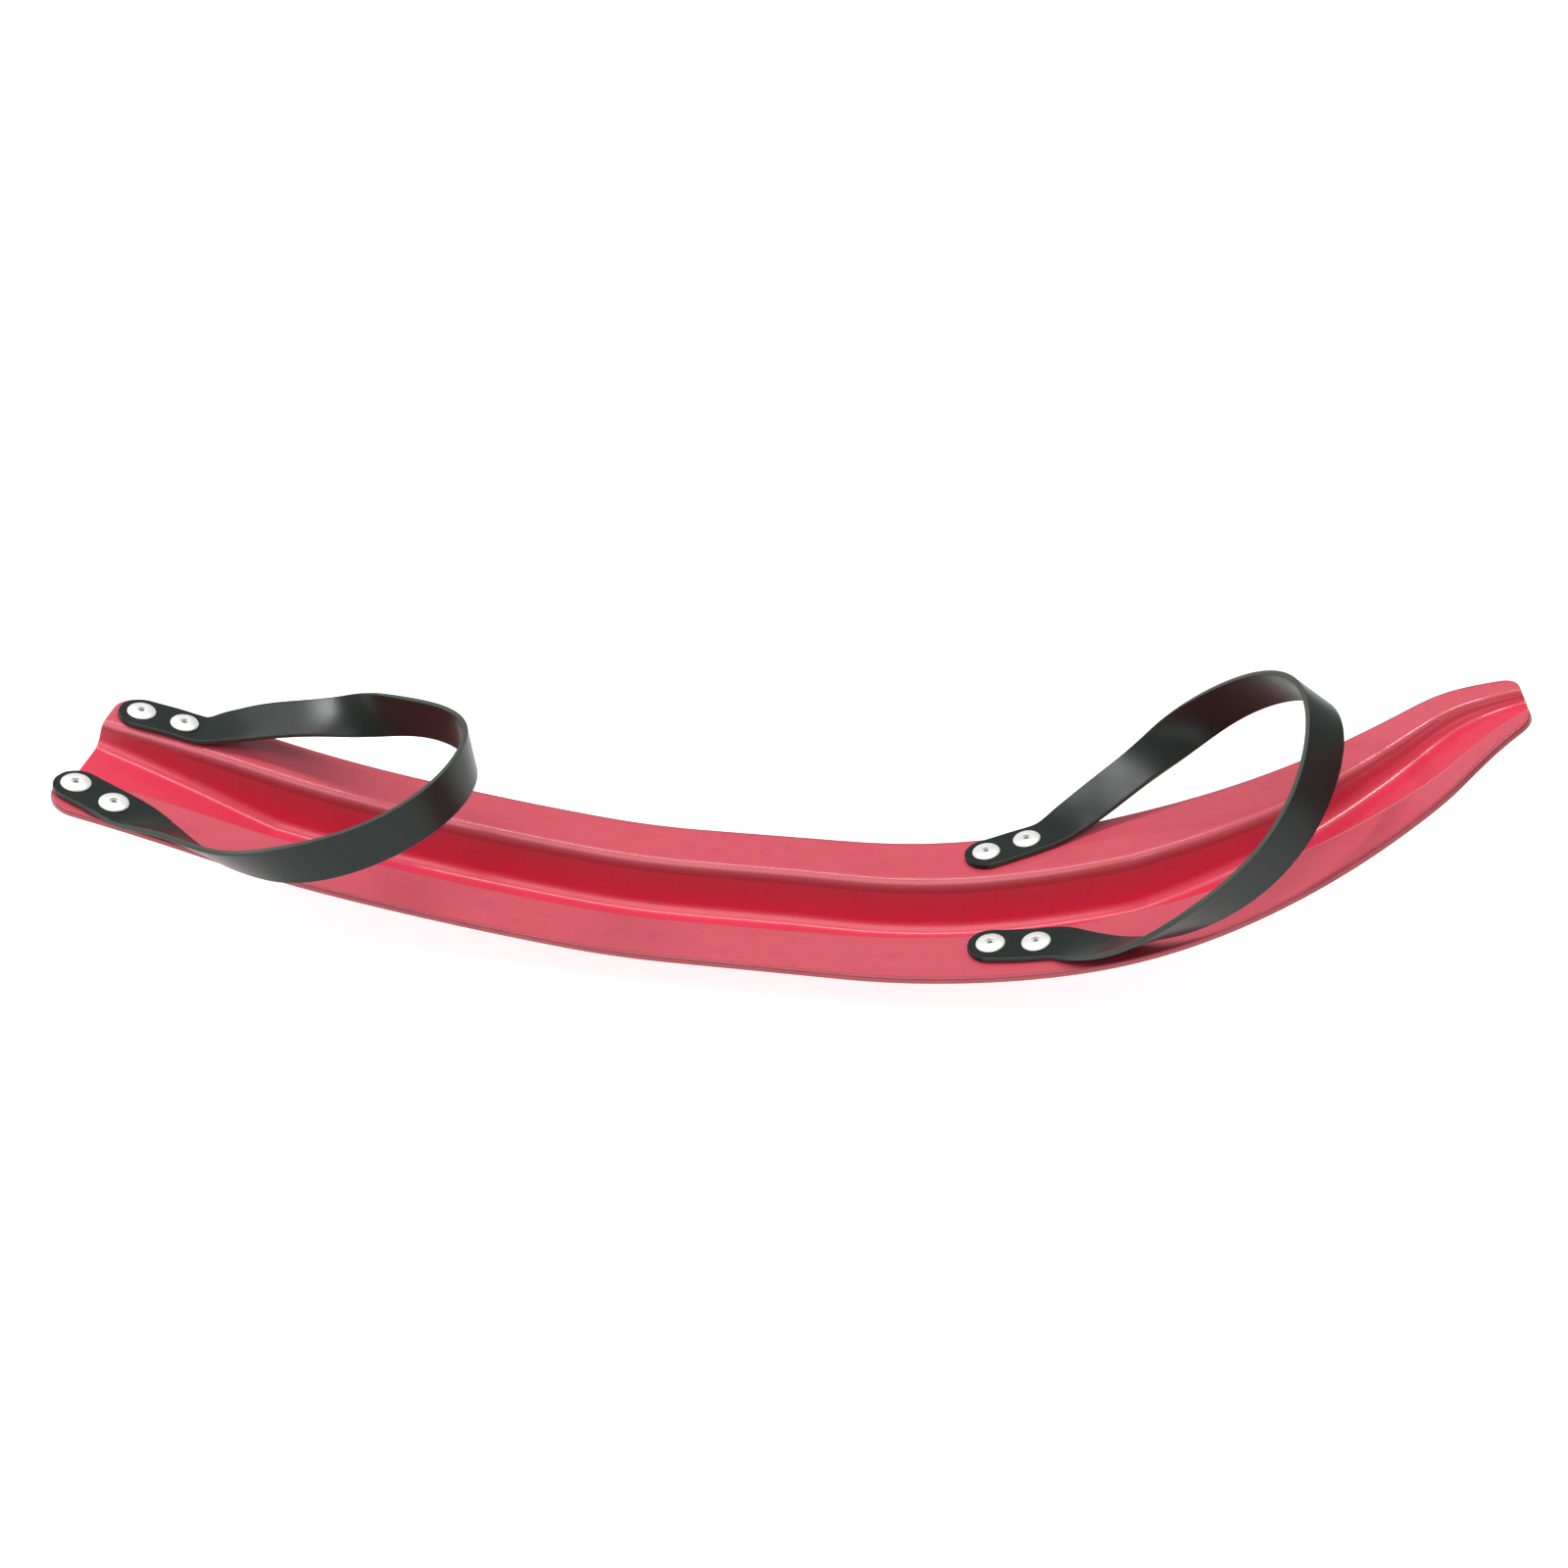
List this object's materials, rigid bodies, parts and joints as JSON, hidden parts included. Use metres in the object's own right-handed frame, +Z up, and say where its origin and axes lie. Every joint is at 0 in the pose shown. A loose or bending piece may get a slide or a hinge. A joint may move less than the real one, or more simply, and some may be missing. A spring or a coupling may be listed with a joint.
{
  "type": "snowmobile ski skin",
  "caption": "Bowed plastic shoe with a deep central channel and an upturned blunt nose, strapped over a steel ski by riveted rubber loops.",
  "frame": {"origin": "on the underside of the channel, on the flat stretch that the shoe stands on, in its middle plane", "axes": "+X from tail to upturned nose, +Y to the left as seen from the tail, +Z up"},
  "size_m": [0.7749, 0.1903, 0.198],
  "materials": {
    "shoe_plastic": "waxy satin, lightly mottled moulded polyethylene",
    "strap_rubber": "smooth satin rubber",
    "rivet_metal": "bright plain aluminium",
    "mandrel_steel": "dull broken steel",
    "washer_steel": "zinc plated"
  },
  "bodies": {
    "shoe": {"ski_skin": "shoe_plastic", "front_strap_near_end": "strap_rubber", "front_strap_far_end": "strap_rubber", "rear_strap_near_end": "strap_rubber", "rear_strap_far_end": "strap_rubber", "rivet_front_near_back": "rivet_metal", "rivet_front_near_front": "rivet_metal", "rivet_front_far_back": "rivet_metal", "rivet_front_far_front": "rivet_metal", "rivet_rear_near_back": "rivet_metal", "rivet_rear_near_front": "rivet_metal", "rivet_rear_far_back": "rivet_metal", "rivet_rear_far_front": "rivet_metal", "mandrel_front_near_back": "mandrel_steel", "mandrel_front_near_front": "mandrel_steel", "mandrel_front_far_back": "mandrel_steel", "mandrel_front_far_front": "mandrel_steel", "mandrel_rear_near_back": "mandrel_steel", "mandrel_rear_near_front": "mandrel_steel", "mandrel_rear_far_back": "mandrel_steel", "mandrel_rear_far_front": "mandrel_steel", "washer_front_near_back": "washer_steel", "washer_front_near_front": "washer_steel", "washer_front_far_back": "washer_steel", "washer_front_far_front": "washer_steel", "washer_rear_near_back": "washer_steel", "washer_rear_near_front": "washer_steel", "washer_rear_far_back": "washer_steel", "washer_rear_far_front": "washer_steel"},
    "front_loop": {"front_strap_loop": "strap_rubber"},
    "rear_loop": {"rear_strap_loop": "strap_rubber"}
  },
  "joints": [
    {"name": "front_strap_swing", "type": "hinge", "parent": "shoe", "child": "front_loop", "pos_m": [0.14194, 0, 0.05662], "axis": [0, -1, 0], "range_deg": [0, 60], "stiffness_Nm_per_rad": 0.3},
    {"name": "rear_strap_swing", "type": "hinge", "parent": "shoe", "child": "rear_loop", "pos_m": [-0.34943, 0, 0.0916], "axis": [0, -1, 0], "range_deg": [0, 75], "stiffness_Nm_per_rad": 0.3}
  ]
}
